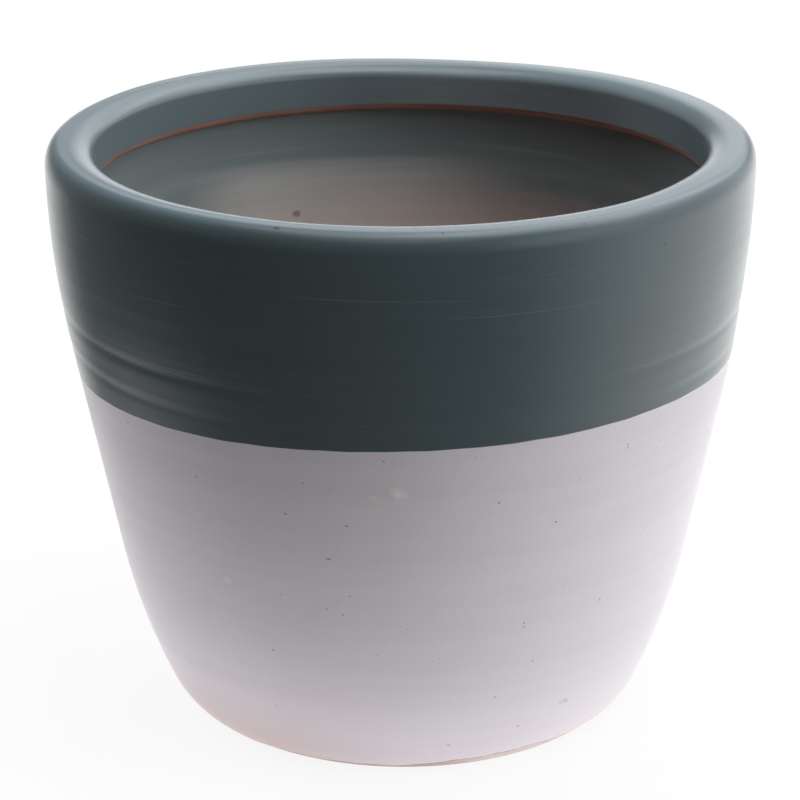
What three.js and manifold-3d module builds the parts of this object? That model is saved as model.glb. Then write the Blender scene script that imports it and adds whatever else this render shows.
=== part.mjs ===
// A hand-thrown clay planter pot in millimetres, +Z up, standing on the floor at z = 0 with its axis on Z.
// The clay body is a floor slab, a wall and a rolled rim collar, each turned from its own section.
// Three thin coats lie on it: pale paint below, teal paint above and over the rim, and a teal wash inside.
import * as THREE from 'three';
import { mergeVertices } from 'three/addons/utils/BufferGeometryUtils.js';
import Module from 'manifold-3d';

// Overall size
const HEIGHT = 250;
const RIM_RADIUS = 150;

// Outside of the pot, from the floor up: a tight heel, a long belly, a straight wall and a shoulder
// that turns upright at the rim.
// A lean is the angle between the outside and the vertical where two of these stretches meet.
const HEEL_RISE = 11.7;
const BELLY_RISE = 59.8;
const WALL_RISE = 93.5;
const FOOT_LEAN = THREE.MathUtils.degToRad(54.2);
const HEEL_LEAN = THREE.MathUtils.degToRad(24.1);
const WALL_LEAN = THREE.MathUtils.degToRad(11.15);

// Clay: wall, floor, drainage hole and the coil smoothed into the corner between wall and floor.
// The wall stands in a rebate round the edge of the floor slab.
const WALL_THICKNESS = 12;
const FLOOR_THICKNESS = 14;
const SEAT_DEPTH = 4;
const DRAIN_RADIUS = 12;
const INNER_FILLET = 12;

// Rolled rim: a collar that overhangs the wall on the inside, with rounded corners
const COLLAR_THICKNESS = 20;
const COLLAR_HEIGHT = 23.5;
const OUTER_CORNER_WIDTH = 6;
const OUTER_CORNER_HEIGHT = 9;
const INNER_CORNER_WIDTH = 10;
const INNER_CORNER_HEIGHT = 6;
const COLLAR_LOWER_EDGE = 3.5;

// Paint and wash. The line between the two paints lies in a plane that tilts up towards its heading.
const PAINT_THICKNESS = 0.4;
const WASH_THICKNESS = 0.2;
const WASH_DEPTH = 75;
const BARE_FOOT = 3;
const PAINT_LINE_HEIGHT = 155.5;
const PAINT_LINE_TILT = THREE.MathUtils.degToRad(1.98);
const PAINT_LINE_HEADING = THREE.MathUtils.degToRad(-36.8);

// Clearances
const BOND_GAP = 0.05;
const PAINT_LINE_GAP = 0.3;

// Steps of the turned shapes
const TURN_STEPS = 48;
const HEEL_STEPS = 3;
const BELLY_STEPS = 3;
const WALL_STEPS = 2;
const SHOULDER_STEPS = 4;
const CORNER_STEPS = 5;
const LEAST_STEP = 0.5;

const CLAY_INSET = PAINT_THICKNESS + BOND_GAP;
const MOUTH_RADIUS = RIM_RADIUS - COLLAR_THICKNESS;
const SEAM_HEIGHT = HEIGHT - COLLAR_HEIGHT;

// Heights at which the outside changes from one stretch to the next
const bellyFoot = HEEL_RISE;
const wallFoot = bellyFoot + BELLY_RISE;
const shoulderFoot = wallFoot + WALL_RISE;
const shoulderTop = HEIGHT - OUTER_CORNER_HEIGHT;

// Each curved stretch is an arc that bulges outwards and runs smoothly into the next one.
// The arcs are set out from the rim down, so that the foot's radius follows from the leans.
const shoulderArc = { radius: (shoulderTop - shoulderFoot) / Math.sin(WALL_LEAN) };
shoulderArc.r = RIM_RADIUS - shoulderArc.radius;
shoulderArc.z = shoulderTop;

const shoulderFootRadius = shoulderArc.r + shoulderArc.radius * Math.cos(WALL_LEAN);
const wallFootRadius = shoulderFootRadius - WALL_RISE * Math.tan(WALL_LEAN);

const bellyArc = { radius: BELLY_RISE / (Math.sin(HEEL_LEAN) - Math.sin(WALL_LEAN)) };
bellyArc.r = wallFootRadius - bellyArc.radius * Math.cos(WALL_LEAN);
bellyArc.z = wallFoot + bellyArc.radius * Math.sin(WALL_LEAN);

const heelArc = { radius: HEEL_RISE / (Math.sin(FOOT_LEAN) - Math.sin(HEEL_LEAN)) };
heelArc.r = bellyArc.r + (bellyArc.radius - heelArc.radius) * Math.cos(HEEL_LEAN);
heelArc.z = bellyFoot + heelArc.radius * Math.sin(HEEL_LEAN);

function arcRadiusAt(arc, z, inset) {
  const drop = arc.z - z;
  return arc.r + Math.sqrt((arc.radius - inset) ** 2 - drop ** 2);
}

// Radius of the surface that lies at the given depth under the painted outside, at height z.
// Below the surface, the meeting heights move up along the line square to the outside.
function outsideRadius(z, inset = 0) {
  if (z < bellyFoot + inset * Math.sin(HEEL_LEAN)) return arcRadiusAt(heelArc, z, inset);
  if (z < wallFoot + inset * Math.sin(WALL_LEAN)) return arcRadiusAt(bellyArc, z, inset);
  if (z < shoulderFoot + inset * Math.sin(WALL_LEAN)) {
    return wallFootRadius + (z - wallFoot) * Math.tan(WALL_LEAN) - inset / Math.cos(WALL_LEAN);
  }
  return arcRadiusAt(shoulderArc, Math.min(z, shoulderTop), inset);
}

// The wall is equally thick, measured level, from the floor to the rim.
function insideRadius(z) {
  return outsideRadius(z, CLAY_INSET) - WALL_THICKNESS;
}

// Heights of the pieces' own ends
const seatHeight = FLOOR_THICKNESS - SEAT_DEPTH;
const filletTop = FLOOR_THICKNESS + INNER_FILLET;
const washTop = SEAM_HEIGHT - BOND_GAP;
const washFoot = washTop - WASH_DEPTH;

// The coats are turned with enough spare height for the tilted line to be cut through them.
const paintLineReach = RIM_RADIUS * Math.tan(PAINT_LINE_TILT) + PAINT_LINE_GAP + LEAST_STEP;
const paintLineLow = PAINT_LINE_HEIGHT - paintLineReach;
const paintLineHigh = PAINT_LINE_HEIGHT + paintLineReach;

// Every surface is sampled at the same heights, so that the facets of clay and coats lie side by side.
const pieceEnds = [BARE_FOOT, seatHeight, filletTop, washFoot, paintLineLow, paintLineHigh, SEAM_HEIGHT];
const stretches = [
  [0, bellyFoot, HEEL_STEPS],
  [bellyFoot, wallFoot, BELLY_STEPS],
  [wallFoot, shoulderFoot, WALL_STEPS],
  [shoulderFoot, shoulderTop, SHOULDER_STEPS],
];
const curveHeights = stretches.flatMap(([from, to, steps]) =>
  Array.from({ length: steps }, (_, i) => from + ((to - from) * i) / steps),
);
const sampleHeights = [
  ...pieceEnds,
  ...curveHeights.filter((z) => pieceEnds.every((end) => Math.abs(z - end) > LEAST_STEP)),
].sort((a, b) => a - b);

function heightsBetween(low, high) {
  const margin = LEAST_STEP / 2;
  return [low, ...sampleHeights.filter((z) => z > low + margin && z < high - margin), high];
}

function upSurface(radiusAt, low, high) {
  return heightsBetween(low, high).map((z) => new THREE.Vector2(radiusAt(z), z));
}

function downSurface(radiusAt, low, high) {
  return upSurface(radiusAt, low, high).reverse();
}

// Rounded corner as part of an ellipse, from one angle to another
function corner(r, z, width, height, from, to) {
  const turnsBack = to < from;
  return new THREE.EllipseCurve(r, z, width, height, from, to, turnsBack).getPoints(CORNER_STEPS);
}

// Top of the rolled rim, from the outside over the crest to the mouth, at a depth under the painted surface
function overRim(inset) {
  const outerWidth = OUTER_CORNER_WIDTH - inset;
  const outerHeight = OUTER_CORNER_HEIGHT - inset;
  const innerWidth = INNER_CORNER_WIDTH - inset;
  const innerHeight = INNER_CORNER_HEIGHT - inset;
  const innerFoot = HEIGHT - INNER_CORNER_HEIGHT;
  return [
    ...corner(RIM_RADIUS - OUTER_CORNER_WIDTH, shoulderTop, outerWidth, outerHeight, 0, Math.PI / 2),
    ...corner(MOUTH_RADIUS + INNER_CORNER_WIDTH, innerFoot, innerWidth, innerHeight, Math.PI / 2, Math.PI),
  ];
}

// Turn a closed section (radius, height), listed anticlockwise, once about the pot's axis.
function turned(section) {
  const closed = [...section, section[0].clone()];
  const geometry = new THREE.LatheGeometry(closed, TURN_STEPS);
  geometry.rotateX(Math.PI / 2);
  return geometry;
}

const wasm = await Module();
wasm.setup();

function solidFrom(geometry) {
  const bare = geometry.clone();
  bare.deleteAttribute('normal');
  bare.deleteAttribute('uv');
  const merged = mergeVertices(bare);
  const mesh = new wasm.Mesh({
    numProp: 3,
    vertProperties: new Float32Array(merged.attributes.position.array),
    triVerts: new Uint32Array(merged.index.array),
  });
  return new wasm.Manifold(mesh);
}

function geometryFrom(solid) {
  const { vertProperties, triVerts } = solid.getMesh();
  const geometry = new THREE.BufferGeometry();
  geometry.setAttribute('position', new THREE.BufferAttribute(new Float32Array(vertProperties), 3));
  geometry.setIndex(new THREE.BufferAttribute(new Uint32Array(triVerts), 1));
  geometry.computeVertexNormals();
  return geometry;
}

// The space on one side of the paint line's plane, as a block larger than the pot
const BELOW = -1;
const ABOVE = 1;

function paintLineBlock(side) {
  const depth = 2 * HEIGHT;
  const block = new THREE.BoxGeometry(4 * RIM_RADIUS, 4 * RIM_RADIUS, depth);
  block.translate(0, 0, (side * (depth + PAINT_LINE_GAP)) / 2);
  block.rotateY(-PAINT_LINE_TILT);
  block.rotateZ(PAINT_LINE_HEADING);
  block.translate(0, 0, PAINT_LINE_HEIGHT);
  return block;
}

function trimmedAtPaintLine(geometry, side) {
  return geometryFrom(solidFrom(geometry).intersect(solidFrom(paintLineBlock(side))));
}

const clayOutside = (z) => outsideRadius(z, CLAY_INSET);
const paintOutside = (z) => outsideRadius(z);
const paintBack = (z) => outsideRadius(z, PAINT_THICKNESS);

// The fillet leaves the inside of the wall along its slope and runs out level at the edge of the open floor.
const filletRadius = insideRadius(filletTop);
const filletSlope = (insideRadius(filletTop + LEAST_STEP) - filletRadius) / LEAST_STEP;
const cornerRadius = filletRadius - INNER_FILLET * filletSlope;
const openFloorRadius = cornerRadius - INNER_FILLET;

function baseDisc() {
  const raisedRadius = openFloorRadius - BOND_GAP;
  return turned([
    new THREE.Vector2(DRAIN_RADIUS, 0),
    ...upSurface(clayOutside, 0, seatHeight),
    new THREE.Vector2(raisedRadius, seatHeight),
    new THREE.Vector2(raisedRadius, FLOOR_THICKNESS),
    new THREE.Vector2(DRAIN_RADIUS, FLOOR_THICKNESS),
  ]);
}

function wall() {
  const fillet = new THREE.QuadraticBezierCurve(
    new THREE.Vector2(filletRadius, filletTop),
    new THREE.Vector2(cornerRadius, FLOOR_THICKNESS),
    new THREE.Vector2(openFloorRadius, FLOOR_THICKNESS),
  );
  return turned([
    ...upSurface(clayOutside, seatHeight, SEAM_HEIGHT),
    ...downSurface(insideRadius, filletTop, SEAM_HEIGHT),
    ...fillet.getPoints(CORNER_STEPS).slice(1),
    new THREE.Vector2(openFloorRadius, seatHeight),
  ]);
}

function rimCollar() {
  const face = MOUTH_RADIUS + CLAY_INSET;
  const edge = COLLAR_LOWER_EDGE;
  return turned([
    ...upSurface(clayOutside, SEAM_HEIGHT, shoulderTop).slice(0, -1),
    ...overRim(CLAY_INSET),
    ...corner(face + edge, SEAM_HEIGHT + edge, edge, edge, Math.PI, 1.5 * Math.PI),
  ]);
}

function paleCoat() {
  const skin = turned([
    ...upSurface(paintOutside, BARE_FOOT, paintLineHigh),
    ...downSurface(paintBack, BARE_FOOT, paintLineHigh),
  ]);
  return trimmedAtPaintLine(skin, BELOW);
}

function tealCoat() {
  const end = SEAM_HEIGHT + COLLAR_LOWER_EDGE;
  const skin = turned([
    ...upSurface(paintOutside, paintLineLow, shoulderTop).slice(0, -1),
    ...overRim(0),
    new THREE.Vector2(MOUTH_RADIUS, end),
    new THREE.Vector2(MOUTH_RADIUS + PAINT_THICKNESS, end),
    ...overRim(PAINT_THICKNESS).reverse(),
    ...downSurface(paintBack, paintLineLow, shoulderTop).slice(1),
  ]);
  return trimmedAtPaintLine(skin, ABOVE);
}

function innerWash() {
  const washBack = (z) => insideRadius(z) - BOND_GAP;
  const washFace = (z) => washBack(z) - WASH_THICKNESS;
  return turned([...upSurface(washBack, washFoot, washTop), ...downSurface(washFace, washFoot, washTop)]);
}

function piece(name, geometry, finish) {
  const mesh = new THREE.Mesh(geometry, new THREE.MeshStandardMaterial({ ...finish, metalness: 0 }));
  mesh.name = name;
  return mesh;
}

const CLAY = { color: 0xb9785f, roughness: 0.9 };
const PALE_PAINT = { color: 0xd9d4da, roughness: 0.75 };
const TEAL_PAINT = { color: 0x5d6f73, roughness: 0.5 };
const TEAL_WASH = { color: 0x858b89, roughness: 0.8 };

const pot = new THREE.Group();
pot.add(
  piece('base_disc', baseDisc(), CLAY),
  piece('wall', wall(), CLAY),
  piece('rim_collar', rimCollar(), CLAY),
  piece('pale_coat', paleCoat(), PALE_PAINT),
  piece('teal_coat', tealCoat(), TEAL_PAINT),
  piece('inner_wash', innerWash(), TEAL_WASH),
);

export default pot;
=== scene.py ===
# %% [markdown]
# # A painted clay planter pot
# The pot is thrown from terracotta clay: a floor slab, a wall and a thick rolled rim. Pale lilac paint covers the
# lower part of the outside. Teal paint covers the upper part and goes over the rim to the inside of the collar, and
# a thin teal wash runs down the wall below it.
#
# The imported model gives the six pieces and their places. Here each one is made again as a fine surface with the
# unevenness of hand work, and gets its finish. The frame is in metres with +Z up, and -Y is the front.

import math

import bpy
import numpy as np
from mathutils import Matrix, Vector


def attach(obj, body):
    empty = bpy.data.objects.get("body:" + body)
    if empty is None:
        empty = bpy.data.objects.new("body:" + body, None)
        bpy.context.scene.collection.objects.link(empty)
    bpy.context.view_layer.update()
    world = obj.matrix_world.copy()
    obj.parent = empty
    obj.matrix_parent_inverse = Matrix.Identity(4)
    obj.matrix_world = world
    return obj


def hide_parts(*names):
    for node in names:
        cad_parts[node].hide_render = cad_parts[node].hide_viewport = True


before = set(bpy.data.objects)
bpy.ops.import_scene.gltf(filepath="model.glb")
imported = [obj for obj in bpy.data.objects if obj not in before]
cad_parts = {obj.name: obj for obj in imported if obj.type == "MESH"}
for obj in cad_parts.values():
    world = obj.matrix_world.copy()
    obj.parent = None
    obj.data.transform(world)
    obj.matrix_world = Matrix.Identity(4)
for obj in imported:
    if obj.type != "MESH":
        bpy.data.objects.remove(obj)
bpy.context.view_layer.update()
print("nodes:", sorted(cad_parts))

# %% [markdown]
# ## Camera
# A small object looks right only from the right distance: too near, and the rim's ellipse opens too far. The long
# lens stands 1.2 m away and looks down by about 20 degrees, which gives the rim and the foot their measured widths.
# The camera is turned first about its own view axis, then tilted, then swung, and moved to its place last.

# %% Place the camera
SENSOR = 36.0
LENS = 123.83
CAMERA_PLACE = Vector((0.0, -1.1322, 0.5357))
CAMERA_TILT = math.radians(19.767)
CAMERA_SWING = math.radians(0.054)
CAMERA_ROLL = math.radians(-0.2693)

lens = bpy.data.cameras.new("camera")
lens.sensor_width = SENSOR
lens.lens = LENS
camera = bpy.data.objects.new("camera", lens)
camera.matrix_world = (
    Matrix.Translation(CAMERA_PLACE)
    @ Matrix.Rotation(CAMERA_SWING, 4, "Z")
    @ Matrix.Rotation(math.pi / 2 - CAMERA_TILT, 4, "X")
    @ Matrix.Rotation(CAMERA_ROLL, 4, "Z")
)
bpy.context.scene.collection.objects.link(camera)
bpy.context.scene.camera = camera
bpy.context.scene.view_settings.view_transform = "Standard"
print("camera", round(CAMERA_PLACE.length, 3), "m from the origin, lens", LENS, "mm")

# %% [markdown]
# ## Shader maths in plain expressions
# A material is a graph of nodes. Written out link by link it is long and hard to read, so a small class wraps one
# socket: arithmetic on it adds Math nodes, and one method adds every other kind of node. A formula such as
# `0.4 + 0.1 * streaks` then reads as it does on paper.

# %% A socket with arithmetic
class Wire:
    """One output socket of a node tree. The operators add Math nodes, and node() adds any other node."""

    def __init__(self, tree, socket=None):
        self.tree = tree
        self.socket = socket

    def node(self, kind, settings=None, sockets=None, out=0):
        """Add a node of a kind, apply its settings, fill or link its sockets, and wrap one of its outputs."""
        made = self.tree.nodes.new(kind)
        for name, value in (settings or {}).items():
            setattr(made, name, value)
        for key, value in (sockets or {}).items():
            if isinstance(value, Wire):
                self.tree.links.new(value.socket, made.inputs[key])
            else:
                made.inputs[key].default_value = value
        return Wire(self.tree, made.outputs[out] if len(made.outputs) else None)

    def math(self, operation, first, second=0.0, third=0.0):
        return self.node("ShaderNodeMath", {"operation": operation}, {0: first, 1: second, 2: third})

    def __add__(self, other): return self.math("ADD", self, other)
    def __radd__(self, other): return self.math("ADD", other, self)
    def __sub__(self, other): return self.math("SUBTRACT", self, other)
    def __rsub__(self, other): return self.math("SUBTRACT", other, self)
    def __mul__(self, other): return self.math("MULTIPLY", self, other)
    def __rmul__(self, other): return self.math("MULTIPLY", other, self)
    def __truediv__(self, other): return self.math("DIVIDE", self, other)
    def __rtruediv__(self, other): return self.math("DIVIDE", other, self)

    def most(self, other): return self.math("MAXIMUM", self, other)

    def rise(self, low, high):
        """0 below low, 1 above high and a smooth S between; with low above high it falls instead."""
        ends = {0: self, 1: low, 2: high, 3: 0.0, 4: 1.0}
        if low > high:
            ends = {0: self, 1: high, 2: low, 3: 1.0, 4: 0.0}
        return self.node("ShaderNodeMapRange", {"interpolation_type": "SMOOTHSTEP"}, ends)

    def tint(self, first, second):
        """Colour that goes from first to second as this value goes from 0 to 1."""
        settings = {"data_type": "RGBA", "clamp_factor": True}
        return self.node("ShaderNodeMix", settings, {0: self, 6: first, 7: second}, out=2)

    def part(self, axis):
        """The X, Y or Z component of this vector."""
        return self.node("ShaderNodeSeparateXYZ", None, {0: self}, out="XYZ".index(axis))


def colour(red, green, blue):
    """Display values from 0 to 255 as a linear colour with full alpha."""
    shown = np.array([red, green, blue]) / 255
    linear = np.where(shown <= 0.04045, shown / 12.92, ((shown + 0.055) / 1.055) ** 2.4)
    return (*linear.tolist(), 1.0)


print("white as a linear colour:", colour(255, 255, 255))

# %% [markdown]
# ## Studio
# The pot stands on a white table in a room that is bright behind and to the right and dark on the other side. The
# background is white because camera rays see plain white there. Glossy rays see the room instead, because satin
# paint gets its sheen from what it mirrors. A picture of a room would do that too, but a few smooth patches of
# brightness, each given by direction, can be read and changed. The light that falls on the pot comes from lamps, at
# a lower level than the background, so the paints keep their own colours.

# %% Room
DARK_HALF, LIT_TABLE, TABLE_AT_LEFT, WALL_BEHIND = 0.22, 1.42, 0.75, 1.5
CEILING_PANELS, RIGHT_WALL = 1.95, 1.0
BRIGHT_SIDE = math.radians(50)

room = bpy.data.worlds.new("white_room")
room.use_nodes = True
room.node_tree.nodes.clear()
start = Wire(room.node_tree)
ray = {name: start.node("ShaderNodeLightPath", out=name) for name in
       ("Is Camera Ray", "Is Glossy Ray", "Is Transmission Ray")}
direction = start.node("ShaderNodeTexCoord", out="Generated")
right, behind, up = (direction.part(axis) for axis in "XYZ")
toward = math.sin(BRIGHT_SIDE) * right + math.cos(BRIGHT_SIDE) * behind
patches = (
    LIT_TABLE * toward.rise(-0.2, 0.9).most(behind.rise(0.6, 0.97)) * up.rise(0.09, -0.22),
    TABLE_AT_LEFT * right.rise(-0.3, -0.7) * behind.rise(-0.4, 0.4) * up.rise(-0.42, -0.56),
    WALL_BEHIND * behind.rise(0.95, 0.99) * up.rise(-0.25, -0.1),
    CEILING_PANELS * toward.rise(0.28, 0.6) * up.rise(0.4, 0.6) * behind.rise(0.8, 0.66),
    RIGHT_WALL * right.rise(0.4, 0.7) * up.rise(-0.2, 0.1) * up.rise(0.65, 0.4),
)
shine = sum(patches, DARK_HALF)
mirrored = ray["Is Glossy Ray"].most(ray["Is Transmission Ray"])
level = ray["Is Camera Ray"].most(mirrored * shine)
glow = start.node("ShaderNodeBackground", None, {"Color": level, "Strength": 1.0})
start.node("ShaderNodeOutputWorld", None, {"Surface": glow})
bpy.context.scene.world = room
print("room:", len(patches), "bright patches over a dark half of", DARK_HALF)

# %% [markdown]
# ### Surfaces from grids of points
# Every surface here is worked out as a grid of points in one go. Two helpers make a mesh of it: the first joins
# neighbouring points to quads, and the second hands points and quads to Blender as whole arrays, which is much
# faster than one point at a time.

# %% Grids as meshes
SHARP_EDGE = math.radians(50)


def grid_faces(rows, columns, wrap_rows, wrap_columns):
    """Corner indices of the quads between neighbouring points of a grid, joined end to end where it wraps."""
    r = np.arange(rows if wrap_rows else rows - 1)[:, None]
    c = np.arange(columns if wrap_columns else columns - 1)[None, :]
    near, far = r * columns, (r + 1) % rows * columns
    left, right = c, (c + 1) % columns
    quads = np.stack([near + left, near + right, far + right, far + left], axis=-1)
    return quads.reshape(-1, 4)


def mesh_object(name, points, quads, finish):
    """A mesh object from point and quad arrays, smooth but for its sharp edges."""
    mesh = bpy.data.meshes.new(name)
    mesh.vertices.add(len(points))
    mesh.vertices.foreach_set("co", points.astype(np.float32).ravel())
    mesh.loops.add(quads.size)
    mesh.loops.foreach_set("vertex_index", quads.astype(np.int32).ravel())
    mesh.polygons.add(len(quads))
    mesh.polygons.foreach_set("loop_start", np.arange(0, quads.size, 4, dtype=np.int32))
    mesh.update(calc_edges=True)
    mesh.validate()
    mesh.shade_smooth()
    mesh.set_sharp_from_angle(angle=SHARP_EDGE)
    mesh.materials.append(finish)
    made = bpy.data.objects.new(name, mesh)
    bpy.context.scene.collection.objects.link(made)
    return made


print("quads of a grid of 3 by 4 points, joined round:", len(grid_faces(3, 4, False, True)))

# %% [markdown]
# ### Table
# The table is a white disc, a hair below the foot so that no two faces lie in one plane. Round the foot it glows for
# diffuse rays, like a light table, which brightens the heel of the pot. Camera rays see mostly plain white with a
# share of the real shading, so a soft shadow stays near the pot. Under the pot they see the real shading alone, so
# the drainage hole looks dark. Glossy rays pass through, because the room below the horizon stands for the lit table
# already, and from below the table is clear, so that the underside of the pot can be looked at.

# %% Table
TABLE_RADIUS = 0.62
TABLE_CENTRE = (0.0, 0.27)
TABLE_TOP = -0.00005
TABLE_RINGS, TABLE_COLUMNS = 24, 96
TABLE_WHITE, TABLE_WHITE_SEEN = 0.58, 0.85
TABLE_SHADE_SHARE = 0.13
SHADE_FULL, SHADE_END = 0.2, 0.5
TABLE_GLOW = 0.74
GLOW_CENTRE, GLOW_COLOUR = (-0.08, 0.0, 0.0), (1.0, 0.965, 0.985, 1)
GLOW_FULL, GLOW_END = 0.14, 0.26
UNDER_POT, UNDER_POT_END = 0.08, 0.09


def table_surface(rings, columns):
    """A flat disc: points at a radius and an angle round its centre."""
    radius = np.linspace(0.004, 1.0, rings)[:, None] * TABLE_RADIUS
    turn = np.linspace(0, 2 * np.pi, columns, endpoint=False)[None, :]
    x = TABLE_CENTRE[0] + radius * np.cos(turn)
    y = TABLE_CENTRE[1] + radius * np.sin(turn)
    return np.stack([x, y, np.full_like(x, TABLE_TOP)], axis=-1).reshape(-1, 3)


table_paint = bpy.data.materials.new("table_white")
table_paint.use_nodes = True
table_paint.node_tree.nodes.clear()
start = Wire(table_paint.node_tree)
seen_by_camera = start.node("ShaderNodeLightPath", out="Is Camera Ray")
seen_by_diffuse = start.node("ShaderNodeLightPath", out="Is Diffuse Ray")
spot = start.node("ShaderNodeTexCoord", out="Object")
from_glow = start.node("ShaderNodeVectorMath", {"operation": "DISTANCE"}, {0: spot, 1: GLOW_CENTRE}, out="Value")
from_axis = start.node("ShaderNodeVectorMath", {"operation": "LENGTH"}, {0: spot}, out="Value")

white = TABLE_WHITE + (TABLE_WHITE_SEEN - TABLE_WHITE) * seen_by_camera
shaded = start.node("ShaderNodeBsdfDiffuse", None, {"Color": white})
lit = (seen_by_diffuse * from_glow.rise(GLOW_END, GLOW_FULL)).tint((0, 0, 0, 1), GLOW_COLOUR)
light_table = start.node("ShaderNodeEmission", None, {"Color": lit, "Strength": TABLE_GLOW})
top = start.node("ShaderNodeAddShader", None, {0: shaded, 1: light_table})
plain_white = start.node("ShaderNodeEmission", None, {"Color": (1, 1, 1, 1), "Strength": 1.0})
white_share = seen_by_camera * (1 - TABLE_SHADE_SHARE * from_glow.rise(SHADE_END, SHADE_FULL))
white_share = white_share * from_axis.rise(UNDER_POT, UNDER_POT_END)
surface = start.node("ShaderNodeMixShader", None, {0: white_share, 1: top, 2: plain_white})
from_below = start.node("ShaderNodeNewGeometry", out="Backfacing")
clear = start.node("ShaderNodeBsdfTransparent")
surface = start.node("ShaderNodeMixShader", None, {0: from_below, 1: surface, 2: clear})
start.node("ShaderNodeOutputMaterial", None, {"Surface": surface})

facing_up = grid_faces(TABLE_RINGS, TABLE_COLUMNS, False, True)[:, ::-1]
table = mesh_object("table", table_surface(TABLE_RINGS, TABLE_COLUMNS), facing_up, table_paint)
table.visible_glossy = False
print("table", len(table.data.polygons), "faces")

# %% [markdown]
# ### Lamps
# Soft light comes from broad panels far away. Area lamps could give it, but sun lamps with a wide disc light every
# side of the pot evenly from their direction. Most of the light comes from the right, from behind and from above,
# and some low from the back left, so the front left of the pot is darkest. A satin rim mirrors each lamp as a bright
# strip. Where the real rim shows no such strip, the lamp is hidden from glossy rays.

# %% Hang the lamps
LAMPS = {
    # degrees right of straight behind and degrees up, where the light comes from; its strength; if it is mirrored
    "right_panel": (92, 6, 0.82, False),
    "front_right_panel": (112, 18, 1.13, False),
    "back_right_panel": (30, 6, 0.58, False),
    "back_panel": (22, 35, 0.68, True),
    "back_left_panel": (-45, 35, 0.74, False),
    "low_left_panel": (-45, 6, 1.6, False),
    "high_right_panel": (90, 65, 1.1, True),
    "overhead_panel": (0, 88, 0.95, True),
    "front_panel": (180, 65, 0.48, True),
}
LAMP_WIDTH = math.radians(50)
LAMP_DISTANCE = 2.0
for name, (aside, lift, strength, in_mirror) in LAMPS.items():
    panel = bpy.data.lights.new(name, "SUN")
    panel.angle = LAMP_WIDTH
    panel.energy = strength
    holder = bpy.data.objects.new(name, panel)
    aside, lift = math.radians(aside), math.radians(lift)
    source = Vector((math.sin(aside) * math.cos(lift), math.cos(aside) * math.cos(lift), math.sin(lift)))
    holder.location = LAMP_DISTANCE * source
    holder.rotation_euler = source.to_track_quat("Z", "Y").to_euler()
    holder.visible_glossy = in_mirror
    bpy.context.scene.collection.objects.link(holder)
print("lamps:", {name: lamp[2] for name, lamp in LAMPS.items()})

# %% [markdown]
# ## The even outline
# The outside rises from a tight heel through a long belly and a straight wall to a shoulder that turns upright at
# the rim. Each curved stretch is an arc that runs smoothly into the next, set out from the rim down. One function of
# the height gives the radius for every coat and every piece of clay, so they stay nested. Sizes are in millimetres.

# %% Radius of the outside by height
HEIGHT, RIM_RADIUS = 250.0, 150.0
HEEL_RISE, BELLY_RISE, WALL_RISE = 11.7, 59.8, 93.5
FOOT_LEAN, HEEL_LEAN, WALL_LEAN = np.radians([54.2, 24.1, 11.15])
CORNER_WIDTH, CORNER_HEIGHT, INNER_WIDTH, INNER_HEIGHT = 6.0, 9.0, 10.0, 6.0
COLLAR_THICKNESS, COLLAR_HEIGHT, COLLAR_EDGE = 20.0, 23.5, 3.5
WALL_THICKNESS, PAINT, BOND = 12.0, 0.4, 0.05

belly_foot = HEEL_RISE
wall_foot = belly_foot + BELLY_RISE
shoulder_foot = wall_foot + WALL_RISE
shoulder_top = HEIGHT - CORNER_HEIGHT
shoulder_arc = (shoulder_top - shoulder_foot) / math.sin(WALL_LEAN)
shoulder_r = RIM_RADIUS - shoulder_arc
wall_foot_r = shoulder_r + shoulder_arc * math.cos(WALL_LEAN) - WALL_RISE * math.tan(WALL_LEAN)
belly_arc = BELLY_RISE / (math.sin(HEEL_LEAN) - math.sin(WALL_LEAN))
belly_r = wall_foot_r - belly_arc * math.cos(WALL_LEAN)
belly_z = wall_foot + belly_arc * math.sin(WALL_LEAN)
heel_arc = HEEL_RISE / (math.sin(FOOT_LEAN) - math.sin(HEEL_LEAN))
heel_r = belly_r + (belly_arc - heel_arc) * math.cos(HEEL_LEAN)
heel_z = belly_foot + heel_arc * math.sin(HEEL_LEAN)
MOUTH_RADIUS = RIM_RADIUS - COLLAR_THICKNESS
SEAM = HEIGHT - COLLAR_HEIGHT


def outside(z, depth=0.0):
    """Radius at height z of the surface a depth under the paint: heel arc, belly arc, line, shoulder arc."""
    def arc(r, centre, radius):
        return r + np.sqrt(np.maximum((radius - depth) ** 2 - (centre - z) ** 2, 0))
    line = wall_foot_r + (z - wall_foot) * math.tan(WALL_LEAN) - depth / math.cos(WALL_LEAN)
    below_top = shoulder_top - np.minimum(z, shoulder_top)
    shoulder = shoulder_r + np.sqrt((shoulder_arc - depth) ** 2 - below_top ** 2)
    bounds = [z < belly_foot + depth * math.sin(HEEL_LEAN), z < wall_foot + depth * math.sin(WALL_LEAN),
              z < shoulder_foot + depth * math.sin(WALL_LEAN)]
    return np.select(bounds, [arc(heel_r, heel_z, heel_arc), arc(belly_r, belly_z, belly_arc), line], shoulder)


def inside(z):
    """Radius at height z of the inside of the wall, which is equally thick all the way up."""
    return outside(z, PAINT + BOND) - WALL_THICKNESS


radii = outside(np.array([0.0, 60.0, 225.0]))
print("radius of foot, belly, wall top in mm:", [round(float(r), 1) for r in radii])

# %% [markdown]
# ## The hand of the potter
# A pot from a wheel is never quite even. The rim dips where it was cut and is drawn in at the right, the wall
# swells there, the foot spreads at the front, and the potter's fingers leave soft rings and a few grooves that wind
# round the wall. Sculpting could give such traces too. Here they are small shifts that depend on the angle round the
# pot and on the height, so that the coats and the clay share them and stay nested.

# %% Unevenness by angle and height
TURN = 480
angle = np.linspace(0, 2 * np.pi, TURN, endpoint=False)[None, :]
whole = np.ones_like(angle)


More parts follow.
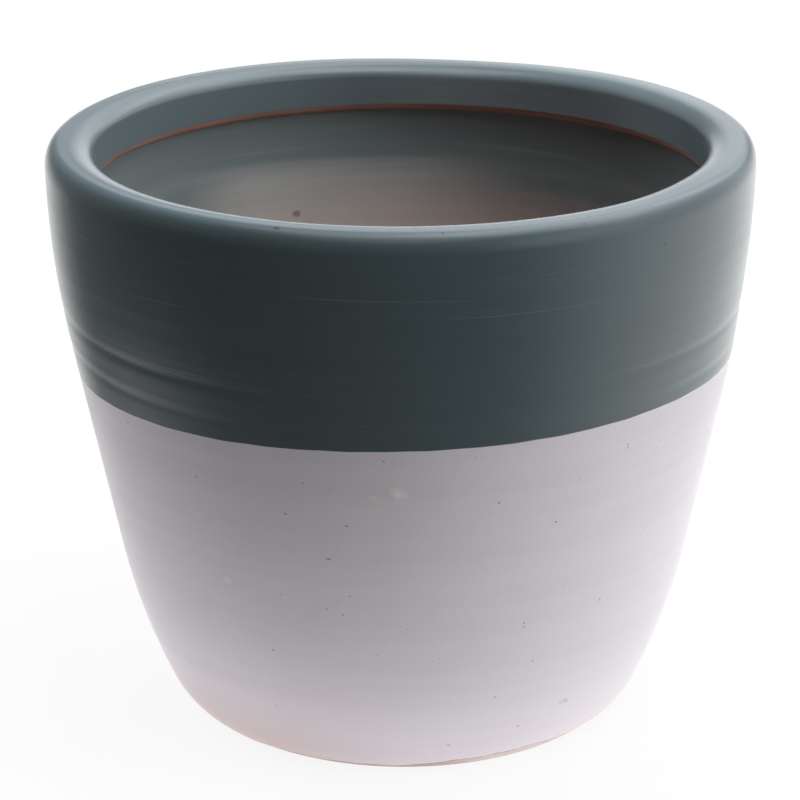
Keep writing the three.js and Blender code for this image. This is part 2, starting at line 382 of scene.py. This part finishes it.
def s_curve(x, low, high):
    """0 below low, 1 above high, a smooth S between."""
    t = np.clip((x - low) / (high - low), 0, 1)
    return t * t * (3 - 2 * t)


def bell(x, width):
    """1 at zero, falling to either side as a bell of the given width."""
    return np.exp(-0.5 * (x / width) ** 2)


def near_angle(centre, half_width):
    """1 at an angle in degrees, falling as a bell to either side, joined round the turn."""
    return bell(np.angle(np.exp(1j * (angle - math.radians(centre)))), math.radians(half_width))


# how far the crest lies under the full height: angle in degrees, millimetres
RIM_DROPS = ((-90, 2.4), (-50, 2.4), (-40, 2.0), (-32, 1.3), (20, 1.0), (45, 1.0), (60, 1.5), (76, 2.2),
             (90, 1.8), (105, 1.0), (120, 0.5), (142, 0.15), (155, 0.5), (200, 1.5), (225, 2.0), (250, 2.3))


def rim_drop():
    """Drop of the crest: straight lines between the listed angles, made smooth by a moving mean of 14 degrees."""
    turns, drops = np.array(RIM_DROPS, dtype=float).T
    raw = np.interp(np.degrees(angle[0]), turns, drops, period=360)
    reach = round(TURN * 7 / 360)
    return sum(np.roll(raw, step) for step in range(-reach, reach + 1))[None, :] / (2 * reach + 1)


GROOVES = (
    # height, depth, width, then the angles where it is deep and how far it spreads
    (181.2, 0.32, 1.7, ((-138, 22), (-36, 18))),
    (166.2, 0.25, 1.7, ((-142, 18), (-30, 10))),
    (173.6, 0.06, 2.0, ((-150, 14), (-40, 12))),
    (120.0, 0.10, 4.0, ((-128, 16),)),
    (96.0, 0.08, 5.0, ((-120, 20), (-60, 20))),
)
GROOVE_EVERYWHERE = 0.15
RIM_DRAWN_IN, WALL_SWELL, FOOT_SPREAD = 0.85, 0.90, 2.0


def unevenness(z):
    """Shift of the radius: drawn in near the rim, swollen wall, spread foot, climbing rings and single grooves."""
    drawn_in = RIM_DRAWN_IN * near_angle(-12, 30) * s_curve(z, 156, 200)
    swell = WALL_SWELL * near_angle(-4, 40) * s_curve(-z, -182, -150)
    spread = FOOT_SPREAD * near_angle(-82, 36) * s_curve(-z, -12, 0)
    climb = (0.016 * np.sin(2 * np.pi * z / 13.1 + angle) + 0.011 * np.sin(2 * np.pi * z / 7.7 - 2 * angle + 1.0)
             + 0.007 * np.sin(2 * np.pi * z / 4.9 + 3 * angle + 0.3))
    shift = swell + spread - drawn_in + climb * s_curve(z, 8, 30) * s_curve(-z, -236, -224)
    drift = 1.6 * np.sin(angle + 0.4)
    for height, depth, width, places in GROOVES:
        strength = GROOVE_EVERYWHERE + sum(near_angle(*place) for place in places)
        shift = shift - depth * np.minimum(strength, 1) * bell(z - height - drift, width)
    return shift


print("rim drop in mm: least", round(float(rim_drop().min()), 2), "most", round(float(rim_drop().max()), 2))

# %% [markdown]
# ## A ring from its section
# Every piece of this pot goes once round the axis. Spinning a profile in Blender would give an even shape, so each
# piece is instead a grid: one parameter runs along its closed section and the other round the pot, and both wrap.
# The section is listed anticlockwise, outside first, so that the faces point outwards.

# %% Turn a section into a closed piece
MM = 0.001


def settle(r, z):
    """Section points with the hand's shifts: the radius moves, heights near the rim sink by the rim's drop."""
    return r + unevenness(z), z - rim_drop() * s_curve(z, 226, 247)


def turned_piece(name, node, finish, r, z):
    """A closed ring: point (r cos a, r sin a, z) on a grid of section step and angle a, wrapped both ways."""
    r, z = np.broadcast_arrays(r, z)
    points = np.stack([r * np.cos(angle), r * np.sin(angle), z], axis=-1).reshape(-1, 3) * MM
    piece = mesh_object(name, points, grid_faces(r.shape[0], TURN, True, True), finish)
    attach(piece, "root")
    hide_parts(node)
    print(name, 2 * len(piece.data.polygons), "triangles, height", round(float(z.min()), 1), "to",
          round(float(z.max()), 1))
    return piece


def column(values):
    """A list of section values as a column, one row per step."""
    return np.asarray(values, dtype=float)[:, None]


def between(low, high, steps):
    """Heights from low to high in even steps, where either end may vary round the pot."""
    return low + (high - low) * np.linspace(0, 1, steps)[:, None]


print("points round each piece:", TURN, "or one every", 360 / TURN, "degrees")

# %% [markdown]
# ## Finishes
# Four finishes dress the pot. Pictures could be wrapped round it, but they need a seam and have a limit of detail.
# Here each finish reads the object's own coordinates, so a streak runs on from one side of a piece to the other.
# Brushed paint follows the wheel's turn: the noise is stretched a long way round the pot and kept short across it.
# On the wall that means across the height and on the rim across the radius, so height and radius are added. Single
# marks are placed by the angle round the pot in degrees and the height in millimetres.

# %% Tools that the finishes share
MM_PER_DEGREE = 2.3


def new_finish(name):
    """An empty material and a wire to start its graph from."""
    finish = bpy.data.materials.new(name)
    finish.use_nodes = True
    finish.node_tree.nodes.clear()
    return finish, Wire(finish.node_tree)


def turn_and_height(start, place):
    """Angle round the pot in degrees, 0 at +X and -90 at the front, and height in millimetres."""
    turn = start.math("ARCTAN2", place.part("Y"), place.part("X")) * (180 / math.pi)
    return turn, place.part("Z") * 1000


def stretched(start, place, along, across):
    """Coordinates for a noise that runs round the pot: coarse along the turn, fine across it."""
    x, y, z = place.part("X"), place.part("Y"), place.part("Z")
    radius = start.math("SQRT", x * x + y * y)
    return start.node("ShaderNodeCombineXYZ", None, {0: x * along, 1: y * along, 2: (z + radius) * across})


def noise(start, place, scale, detail=2.0, rough=0.5):
    sockets = {"Vector": place, "Scale": scale, "Detail": detail, "Roughness": rough}
    return start.node("ShaderNodeTexNoise", None, sockets)


def fleck(start, turn, height, centre, up, length, width):
    """1 inside an oval mark, 0 outside; its length runs round the pot. Sizes in millimetres."""
    aside = (turn - centre) * (MM_PER_DEGREE / length)
    above = (height - up) * (1 / width)
    return start.math("SQRT", aside * aside + above * above).rise(0.65, 0.35)


def stroke(start, turn, height, first, last, up_first, up_last, width):
    """A thin line between two angles that climbs from one height to the other and fades out at its ends."""
    slope = (up_last - up_first) / (last - first)
    off = start.math("ABSOLUTE", height - up_first - (turn - first) * slope)
    fade = 0.3 * (last - first)
    return off.rise(width, 0.0) * turn.rise(first, first + fade) * turn.rise(last, last - fade)


def finish_with(start, base, rough, relief, relief_depth, relief_strength, bloom=0.0):
    """End a finish: colour, roughness and relief go into one shader; bloom is a dusty sheen at the edges."""
    normal = start.node("ShaderNodeBump", None,
                        {"Strength": relief_strength, "Distance": relief_depth, "Height": relief})
    shader = start.node("ShaderNodeBsdfPrincipled", None,
                        {"Base Color": base, "Roughness": rough, "Normal": normal,
                         "Sheen Weight": bloom, "Sheen Roughness": 0.3})
    start.node("ShaderNodeOutputMaterial", None, {"Surface": shader})


print("marks on the paint are", MM_PER_DEGREE, "mm long for each degree round the pot")

# %% [markdown]
# ### Teal paint
# The upper band is a satin grey teal, laid on with a wide brush while the pot turned. It has broad and fine
# streaks, some lighter lines where the brush was lifted or something scraped along it, and a few chips at the rim's
# edge. Over the crest and on the collar's inner face the colour is painted lighter, most of all at the back right:
# this is painted light. The distance from the axis tells these places apart, so one finish serves the whole coat.

# %% Teal paint
BRUSH_LINES = (
    # angles from and to, heights there, width
    (-153, -116, 184.0, 182.6, 0.45), (-152, -122, 182.4, 181.2, 0.35), (-150, -128, 187.0, 186.5, 0.4),
    (-56, -22, 182.4, 180.6, 0.45), (-50, -24, 184.6, 183.4, 0.4), (-46, -20, 179.0, 178.4, 0.35),
    (-154, -146, 227.5, 226.5, 0.3), (-141, -123, 210.0, 211.6, 0.35), (-152, -140, 203.0, 203.4, 0.4),
    (-110, -76, 222.0, 221.0, 0.35), (-88, -50, 214.0, 214.8, 0.35), (-44, -20, 222.4, 223.4, 0.4),
)
TEAL, TEAL_LIGHT = colour(68, 83, 86), colour(73, 89, 92)
# lighter teal for the crest and the collar's inner face: painted light, strongest at the back right
TEAL_CREST_PAINTED_LIGHT, TEAL_CREST_PAINTED_LIGHT_BACK_RIGHT = colour(91, 109, 117), colour(110, 129, 136)
TEAL_FACE_PAINTED_LIGHT, TEAL_FACE_PAINTED_LIGHT_BACK_RIGHT = colour(97, 112, 117), colour(121, 136, 143)
LIFTED_BRUSH, CHIPPED = colour(116, 126, 129), colour(48, 40, 38)
CREST_RADII, CREST_HEIGHTS, FACE_RADII = (0.1494, 0.1450), (232, 241), (0.1360, 0.1305)
RIM_CHIPS = ((-108.8, 247.2, 2.2, 0.7), (-84, 247.0, 1.2, 0.6), (-47, 232.0, 1.2, 1.0), (-62, 246.0, 1.0, 0.6))


def teal_paint():
    finish, start = new_finish("teal_paint")
    place = start.node("ShaderNodeTexCoord", out="Object")
    turn, height = turn_and_height(start, place)
    broad = noise(start, stretched(start, place, 5.0, 160.0), 1.0)
    fine = noise(start, stretched(start, place, 9.0, 1100.0), 1.0)
    cloud = noise(start, place, 9.0, 3.0)
    shade = 0.4 * broad + 0.15 * fine + 0.45 * cloud
    base = shade.rise(0.3, 0.7).tint(TEAL, TEAL_LIGHT)
    radius = start.math("SQRT", place.part("X") * place.part("X") + place.part("Y") * place.part("Y"))
    # The crest and the collar's inner face are painted lighter, most of all at the back right: painted light.
    crest = (turn.rise(80, 55) * turn.rise(5, 30)).tint(TEAL_CREST_PAINTED_LIGHT, TEAL_CREST_PAINTED_LIGHT_BACK_RIGHT)
    base = (radius.rise(*CREST_RADII) * height.rise(*CREST_HEIGHTS)).tint(base, crest)
    face = (turn.rise(10, 40) * turn.rise(100, 75)).tint(TEAL_FACE_PAINTED_LIGHT, TEAL_FACE_PAINTED_LIGHT_BACK_RIGHT)
    base = radius.rise(*FACE_RADII).tint(base, face)
    lines = 0.0
    for line in BRUSH_LINES:
        lines = stroke(start, turn, height, *line) + lines
    lines = lines * fine.rise(0.3, 0.7)
    base = (0.45 * lines).tint(base, LIFTED_BRUSH)
    chips = 0.0
    for chip in RIM_CHIPS:
        chips = fleck(start, turn, height, *chip) + chips
    base = (0.7 * chips).tint(base, CHIPPED)
    rough = 0.23 + 0.05 * broad + 0.02 * fine + 0.1 * lines
    finish_with(start, base, rough, 0.15 * fine + 0.35 * broad + 0.5 * lines - chips, 0.00008, 0.1)
    return finish


print("teal paint:", len(BRUSH_LINES), "brush lines and", len(RIM_CHIPS), "chips")

# %% [markdown]
# ### Pale paint
# The lower part is a matt lilac white. Air broke through the wet paint and left pinholes. Each could be modelled,
# but they are only about a millimetre wide, so a cell pattern laid round the pot gives a random point in each cell,
# and some cells keep theirs. Larger nicks, two rubbed spots and a painted highlight on the top of each blister have
# their own places. Near the foot the paint is thin, and the clay gives it a pink tinge; low at the front left the
# pink is also painted warm light.

# %% Pale paint
NICKS = (
    # angle, height, length, width
    (-103, 108, 2.6, 1.1), (-99.5, 124, 1.8, 0.9), (-99.6, 91, 1.6, 0.7), (-104, 84, 1.0, 1.0),
    (-101, 82, 1.1, 1.0), (-110, 127, 1.4, 1.2), (-74, 133, 1.3, 1.2), (-63, 120, 1.5, 1.0), (-67, 74, 1.0, 1.1),
    (-67, 72, 1.0, 1.0), (-64, 54, 1.1, 1.0), (-50, 76, 1.0, 1.4), (-20, 131, 1.1, 1.4), (-50, 148, 1.1, 1.0),
    (-50, 146.6, 1.0, 1.0), (-143, 150, 1.2, 1.1), (-127, 136, 1.3, 1.1), (-116, 60, 1.2, 1.1),
    (-118, 30, 1.2, 0.9), (-80, 14, 2.2, 0.8), (-71, 38, 1.3, 1.0), (-64, 19, 2.0, 0.8), (-93, 154, 1.2, 1.0),
)
NICK_SIZE = 0.8
PINHOLE_CELL, PINHOLE_MM_PER_DEGREE = 13.0, 2.2
LILAC, LILAC_LIGHT, THIN_PINK_AND_WARM_LIGHT = colour(220, 214, 220), colour(226, 221, 228), colour(224, 196, 184)
PAINTED_BLISTER_HIGHLIGHT, RUBBED_BROWN, NICKED = colour(246, 232, 230), colour(158, 142, 130), colour(92, 78, 78)
RUBBED = ((-53, 26.5, 6.0, 2.6), (-24, 32, 2.5, 5.0))
BLISTER_HIGHLIGHTS = ((-91.3, 140, 4.4, 3.6), (-89.6, 138.4, 2.6, 2.2), (-95, 137.5, 3.4, 2.2), (-124, 89.5, 5.0, 2.4))


def pinholes(start, turn, height):
    """1 at a random point in some cells of a pattern of cells laid round the pot, with sizes that differ."""
    across, up = turn * (PINHOLE_MM_PER_DEGREE / PINHOLE_CELL), height * (1 / PINHOLE_CELL)
    round_pot = start.node("ShaderNodeCombineXYZ", None, {0: across, 1: up, 2: 0.0})
    cells = {"voronoi_dimensions": "2D", "feature": "F1"}
    near = start.node("ShaderNodeTexVoronoi", cells, {"Vector": round_pot, "Scale": 1.0}, out="Distance")
    chance = start.node("ShaderNodeTexVoronoi", cells, {"Vector": round_pot, "Scale": 1.0}, out="Color")
    size = 0.14 + 0.26 * chance.part("Y")
    return (near * PINHOLE_CELL / size).rise(1.0, 0.55) * chance.part("X").rise(0.5, 0.9)


def pale_paint():
    finish, start = new_finish("pale_paint")
    place = start.node("ShaderNodeTexCoord", out="Object")
    turn, height = turn_and_height(start, place)
    streaks = noise(start, stretched(start, place, 6.0, 110.0), 1.0)
    cloud = noise(start, place, 16.0, 3.0)
    grain = noise(start, place, 700.0, 2.0)
    shade = 0.4 * streaks + 0.4 * cloud + 0.2 * grain
    base = shade.rise(0.3, 0.7).tint(LILAC, LILAC_LIGHT)
    # Pinker where the paint is thin near the foot; low at the front left the pink is painted warm light.
    thin_and_warm_light = height.rise(14, 2) * cloud.rise(0.2, 0.8) + height.rise(34, 6) * turn.rise(-85, -125)
    base = (0.4 * thin_and_warm_light).tint(base, THIN_PINK_AND_WARM_LIGHT)
    # Lighter tops of the blisters: a painted highlight.
    for mark in BLISTER_HIGHLIGHTS:
        base = (0.55 * fleck(start, turn, height, *mark)).tint(base, PAINTED_BLISTER_HIGHLIGHT)
    rubbed = 0.0
    for mark in RUBBED:
        rubbed = fleck(start, turn, height, *mark) + rubbed
    base = (0.45 * rubbed * grain.rise(0.35, 0.6)).tint(base, RUBBED_BROWN)
    nicks = pinholes(start, turn, height)
    for centre, up, length, width in NICKS:
        nicks = nicks.most(fleck(start, turn, height, centre, up, NICK_SIZE * length, NICK_SIZE * width))
    base = (0.6 * nicks).tint(base, NICKED)
    rough = 0.50 + 0.08 * streaks + 0.06 * grain
    finish_with(start, base, rough, 0.5 * streaks + 0.3 * grain - nicks, 0.0001, 0.3, bloom=0.4)
    return finish


print("pale paint:", len(NICKS), "nicks,", len(RUBBED), "rubbed spots and", len(BLISTER_HIGHLIGHTS), "blister_highlights")

# %% [markdown]
# ### Teal wash
# Inside, the teal was thinned with water and left uneven. It is densest under the collar, darker towards either
# side, streaked round the wall, rubbed thin at the back, and towards its lower edge the clay's warm red comes
# through.
# The film could be made see-through, but a mix of the two colours by cover gives the same look and bakes cleanly.

# %% Teal wash
WASHED_CLAY, WASHED_TEAL, WASH_STREAK = colour(190, 172, 166), colour(121, 136, 140), colour(172, 180, 178)
WASH_SIDES_DARKER, WASH_WORN, SMUDGED = colour(100, 107, 108), colour(212, 210, 206), colour(104, 76, 70)
SMUDGE = (112, 178.6, 4.6, 3.0)


def teal_wash():
    finish, start = new_finish("teal_wash")
    place = start.node("ShaderNodeTexCoord", out="Object")
    turn, height = turn_and_height(start, place)
    streaks = noise(start, stretched(start, place, 7.0, 150.0), 1.0, 3.0)
    cloud = noise(start, place, 40.0, 4.0, 0.6)
    cover = height.rise(150, 214) + 0.5 * (streaks - 0.5) + 0.35 * (cloud - 0.5)
    base = cover.rise(0.1, 0.85).tint(WASHED_CLAY, WASHED_TEAL)
    base = (0.3 * streaks.rise(0.5, 0.8)).tint(base, WASH_STREAK)
    # Darker towards either side of the inside.
    sides_darker = turn.rise(80, 40) * turn.rise(-10, 20)
    base = (0.25 * sides_darker + 0.4 * turn.rise(95, 135)).tint(base, WASH_SIDES_DARKER)
    worn = turn.rise(60, 92) * turn.rise(142, 118) * height.rise(206, 194)
    base = (0.5 * worn * (0.5 + streaks)).tint(base, WASH_WORN)
    smudge = fleck(start, turn, height, *SMUDGE) * noise(start, place, 260.0, 2.0).rise(0.35, 0.5)
    base = (0.6 * smudge).tint(base, SMUDGED)
    finish_with(start, base, 0.72 + 0.12 * cloud, 0.6 * streaks + 0.4 * cloud, 0.0001, 0.4)
    return finish


print("teal wash: one smudge at", SMUDGE[0], "degrees")

# %% [markdown]
# ### Bare clay
# Fired terracotta, matt and a little sandy. It shows at the foot, as a line under the collar and inside, below the
# wash. At the foot, wiped paint leaves a chalky bloom, duller at the front left, and a dark line follows the
# paint's edge: partly dirt, partly painted shadow under the edge of the paint. A mask by height alone would miss the
# ragged edge, so the slab's points carry how far they lie under it. On the other pieces that value is missing and
# reads 0.

# %% Bare clay
CLAY, CLAY_LIGHT, DIRT_AND_PAINTED_SHADOW = colour(148, 112, 101), colour(163, 124, 111), colour(104, 86, 80)
CHALK, CHALK_DULL = colour(214, 202, 199), colour(194, 178, 172)


def bare_clay():
    finish, start = new_finish("bare_clay")
    place = start.node("ShaderNodeTexCoord", out="Object")
    turn, height = turn_and_height(start, place)
    sand = noise(start, place, 900.0, 3.0)
    broad = noise(start, place, 30.0, 3.0)
    base = broad.rise(0.3, 0.7).tint(CLAY, CLAY_LIGHT)
    facing = start.node("ShaderNodeNewGeometry", out="Normal").part("Z")
    bloom = height.rise(11, 7) * facing.rise(-0.98, -0.9)
    chalk = turn.rise(-66, -84).tint(CHALK, CHALK_DULL)
    base = (bloom * (0.8 + 0.3 * broad) * height.rise(0.1, 0.9)).tint(base, chalk)
    edge = start.node("ShaderNodeAttribute", {"attribute_name": "under_edge"}, None, out="Fac")
    specks = noise(start, place, 160.0, 2.0).rise(0.4, 0.6)
    # A dark line just under the paint's edge: partly dirt, partly painted shadow of the edge.
    dirt_and_shadow = edge.rise(1.2, 0.5) * edge.rise(0.02, 0.1) * (0.35 + 0.9 * specks)
    base = (0.9 * dirt_and_shadow).tint(base, DIRT_AND_PAINTED_SHADOW)
    finish_with(start, base, 0.85 + 0.1 * sand, sand, 0.0002, 0.4)
    return finish


clay = bare_clay()
print("bare clay:", len(clay.node_tree.nodes), "nodes, shared by slab, wall and collar")

# %% [markdown]
# ## Pieces
# The paint line is where the two outer coats meet. It lies in a tilted plane and wavers a little, because a brush
# was held against the turning pot. The pale coat ends a little above the table, higher at the front and most of all
# at the front right. Both lines are heights by angle, so the coats can start and end on them exactly.

# %% Lines where the coats end
PAINT_LINE, TILT_X, TILT_Y = 155.55, 0.0277, -0.0207
FOOT_LINE, FRONT_RISE, RIGHT_RISE = 1.4, 1.0, 3.5


def paint_line():
    """Height of the line between the paints: a tilted plane met by the wall, plus slow and quick wavering."""
    z = np.full_like(angle, PAINT_LINE)
    for _ in range(4):
        z = PAINT_LINE + outside(z) * (TILT_X * np.cos(angle) + TILT_Y * np.sin(angle))
    slow = 0.22 * np.sin(3 * angle + 2.6) + 0.12 * np.sin(7 * angle + 0.5)
    quick = 0.07 * np.sin(31 * angle + 1.0) + 0.05 * np.sin(53 * angle + 2.0)
    return z + slow + quick


def foot_line():
    """Height where the pale paint ends above the table: two rises at the front, and a ragged edge."""
    ragged = 0.3 * np.sin(9 * angle + 0.8) + 0.25 * np.sin(17 * angle) + 0.2 * np.sin(37 * angle + 1.3)
    return FOOT_LINE + FRONT_RISE * near_angle(-95, 25) + RIGHT_RISE * near_angle(-58, 18) + ragged


print("paint line in mm:", round(float(paint_line().min()), 1), "to", round(float(paint_line().max()), 1))

# %% [markdown]
# ### Pale coat
# A skin of paint 0.4 mm thick. It could be a colour on the clay alone, but as a thin closed piece it has a real edge
# at the foot and at the paint line. Some grit and air under it lift it in small blisters. They are in the shape, not
# in the finish, so that they catch the light from every side.

# %% Pale coat
CLAY_DEPTH = PAINT + BOND
BLISTERS = (
    # angle, height, width, how far it stands out
    (-91.3, 140, 1.9, 0.52), (-90.0, 138, 1.2, -0.32), (-95, 137.5, 1.6, 0.32), (-93, 142.6, 1.2, 0.15),
    (-125, 90.5, 2.2, 0.30), (-124, 88.6, 1.4, -0.18), (-79, 127, 1.6, 0.08), (-84, 128, 1.8, 0.08),
)


def blisters(z):
    """Shift of the radius by each blister: a round bell on the surface."""
    shift = 0 * z * whole
    for centre, up, width, lift in BLISTERS:
        aside = np.angle(np.exp(1j * (angle - math.radians(centre)))) * outside(np.array(float(up)))
        shift = shift + lift * bell(np.hypot(aside, z - up), width)
    return shift


rows = between(foot_line(), paint_line(), 180)
back = between(paint_line(), foot_line(), 14)
coat_r, coat_z = settle(
    np.concatenate([outside(rows) + blisters(rows), outside(back, PAINT)]),
    np.concatenate([rows, back]),
)
turned_piece("pale_coat_skin", "pale_coat", pale_paint(), coat_r, coat_z)

# %% [markdown]
# ### Teal coat
# It starts at the paint line, goes up the outside, over the rim and down the inner face of the collar, and comes
# back 0.4 mm deeper. One grid follows this whole path, so there is no seam where it turns over the rim. The brush
# and the potter's sponge left fine lines along the rim's crest.

# %% Teal coat
def over_rim(depth, steps):
    """The rim's section from shoulder to mouth: outer quarter ellipse, flat crest, wider inner quarter ellipse."""
    outer = np.linspace(0, np.pi / 2, steps)
    inner = np.linspace(np.pi / 2, np.pi, steps)
    crest = np.linspace(RIM_RADIUS - CORNER_WIDTH, MOUTH_RADIUS + INNER_WIDTH, steps // 2 + 2)[1:-1]
    r = np.concatenate([
        RIM_RADIUS - CORNER_WIDTH + (CORNER_WIDTH - depth) * np.cos(outer), crest,
        MOUTH_RADIUS + INNER_WIDTH + (INNER_WIDTH - depth) * np.cos(inner)])
    z = np.concatenate([
        shoulder_top + (CORNER_HEIGHT - depth) * np.sin(outer), np.full_like(crest, HEIGHT - depth),
        HEIGHT - INNER_HEIGHT + (INNER_HEIGHT - depth) * np.sin(inner)])
    return column(r), column(z)


RIM_LINES = (
    # radius, depth, width, angle where it is deepest, spread
    (146.2, 0.10, 0.8, -14, 26), (143.4, 0.05, 0.9, -20, 40), (138.2, 0.04, 0.9, -60, 40),
    (141.0, 0.04, 0.8, -110, 40),
)


def rim_lines(r):
    """Depth of the fine lines along the crest at a radius."""
    return sum(depth * bell(r - radius, width) * near_angle(centre, spread)
               for radius, depth, width, centre, spread in RIM_LINES)


COLLAR_END = SEAM + COLLAR_EDGE
rows = between(paint_line(), shoulder_top * whole, 96)[:-1]
back = between(shoulder_top * whole, paint_line(), 12)[1:]
rim_r, rim_z = over_rim(0.0, 18)
rim_back_r, rim_back_z = over_rim(PAINT, 6)
face = column(np.linspace(HEIGHT - INNER_HEIGHT, COLLAR_END, 14)[1:])
coat_r, coat_z = settle(
    np.concatenate([outside(rows), rim_r * whole, MOUTH_RADIUS + 0 * face * whole,
                    (MOUTH_RADIUS + PAINT) * whole, rim_back_r[::-1] * whole, outside(back, PAINT)]),
    np.concatenate([rows, rim_z - rim_lines(rim_r), face * whole,
                    COLLAR_END * whole, rim_back_z[::-1] * whole, back]),
)
turned_piece("teal_coat_skin", "teal_coat", teal_paint(), coat_r, coat_z)

# %% [markdown]
# ### Rim collar
# The thick roll of clay under the teal. Its lower inner edge is bare and rounded, and shows as a line in the mouth.
# A Bevel modifier could round it; a quarter circle in the section gives it an exact size.

# %% Rim collar
edge_turn = np.linspace(np.pi, 1.5 * np.pi, 10)
face_r = MOUTH_RADIUS + CLAY_DEPTH
rim_r, rim_z = over_rim(CLAY_DEPTH, 6)
rows = column(np.linspace(SEAM, shoulder_top, 8)[:-1])
collar_r, collar_z = settle(
    np.concatenate([outside(rows, CLAY_DEPTH) * whole, rim_r * whole,
                    column(face_r + COLLAR_EDGE + COLLAR_EDGE * np.cos(edge_turn)) * whole]),
    np.concatenate([rows * whole, rim_z * whole,
                    column(SEAM + COLLAR_EDGE + COLLAR_EDGE * np.sin(edge_turn)) * whole]),
)
turned_piece("rim_collar_clay", "rim_collar", clay, collar_r, collar_z)

# %% [markdown]
# ### Wall
# One thickness of clay from the rebate in the floor slab up to the seam under the collar. Inside, a coil smoothed
# into the corner rounds it off: a curve that leaves the wall along its slope and meets the floor level.

# %% Wall
FLOOR, SEAT, FILLET, DRAIN = 14.0, 10.0, 12.0, 12.0
fillet_top = FLOOR + FILLET
fillet_r = float(inside(np.array(fillet_top)))
slope = float(inside(np.array(fillet_top + 0.5)) - fillet_r) / 0.5
corner_r = fillet_r - FILLET * slope
open_floor_r = corner_r - FILLET
t = np.linspace(0, 1, 14)[1:]
fillet_curve_r = (1 - t) ** 2 * fillet_r + 2 * t * (1 - t) * corner_r + t ** 2 * open_floor_r
fillet_curve_z = (1 - t) ** 2 * fillet_top + (1 - (1 - t) ** 2) * FLOOR
up = column(np.linspace(SEAT, SEAM, 40))
down = column(np.linspace(SEAM, fillet_top, 90))
wall_r, wall_z = settle(
    np.concatenate([outside(up, CLAY_DEPTH), inside(down), column(fillet_curve_r), [[open_floor_r]]]) * whole,
    np.concatenate([up, down, column(fillet_curve_z), [[SEAT]]]) * whole,
)
turned_piece("wall_clay", "wall", clay, wall_r, wall_z)

# %% [markdown]
# ### Inner wash
# A film on the upper part of the inside of the wall, thinner than the paint outside. Like the other coats it is a
# closed piece of its own, a bond's width off the clay, so that no two faces lie in one place.

# %% Inner wash
WASH, WASH_DEPTH = 0.2, 75.0
wash_top = SEAM - BOND
rows = column(np.linspace(wash_top - WASH_DEPTH, wash_top, 10))
front_rows = column(np.linspace(wash_top, wash_top - WASH_DEPTH, 90))
wash_r, wash_z = settle(
    np.concatenate([inside(rows) - BOND, inside(front_rows) - BOND - WASH]) * whole,
    np.concatenate([rows, front_rows]) * whole,
)
turned_piece("inner_wash_skin", "inner_wash", teal_wash(), wash_r, wash_z)

# %% [markdown]
# ### Floor slab
# The disc that the pot stands on, with the drainage hole through it. A Boolean could cut the hole, but a ring whose
# section starts at the hole's edge has it already, with clean quads. The slab's edge is the bare foot below the pale
# paint, so it shares the wall's unevenness, which fades out towards the round hole. Its points carry how far they
# lie under the paint's edge, for the clay's dark line of dirt and painted shadow.

# %% Floor slab
EVEN_TO_UNEVEN = (30, 80)
heel = column(np.linspace(0, SEAT, 40))
top = column(np.linspace(open_floor_r - BOND, DRAIN, 24))
hole = column(np.linspace(FLOOR, 0, 6)[1:])
under = column(np.linspace(DRAIN, float(outside(np.array(0.0), CLAY_DEPTH)), 24)[1:-1])
slab_r = np.concatenate([outside(heel, CLAY_DEPTH), [[open_floor_r - BOND]], top, DRAIN + 0 * hole, under]) * whole
slab_z = np.concatenate([heel, [[SEAT]], FLOOR + 0 * top, hole, 0 * under]) * whole
slab_r = slab_r + unevenness(slab_z) * s_curve(slab_r, *EVEN_TO_UNEVEN)
base_disc = turned_piece("floor_slab_clay", "base_disc", clay, slab_r, slab_z)
under_edge = base_disc.data.attributes.new("under_edge", "FLOAT", "POINT")
on_heel = np.zeros(slab_z.shape)
on_heel[:len(heel)] = 1
below = (foot_line() - slab_z) * on_heel
under_edge.data.foreach_set("value", below.astype(np.float32).ravel())
print("bare strip at the foot in mm: least", round(float(foot_line().min()), 1),
      "most", round(float(foot_line().max()), 1))
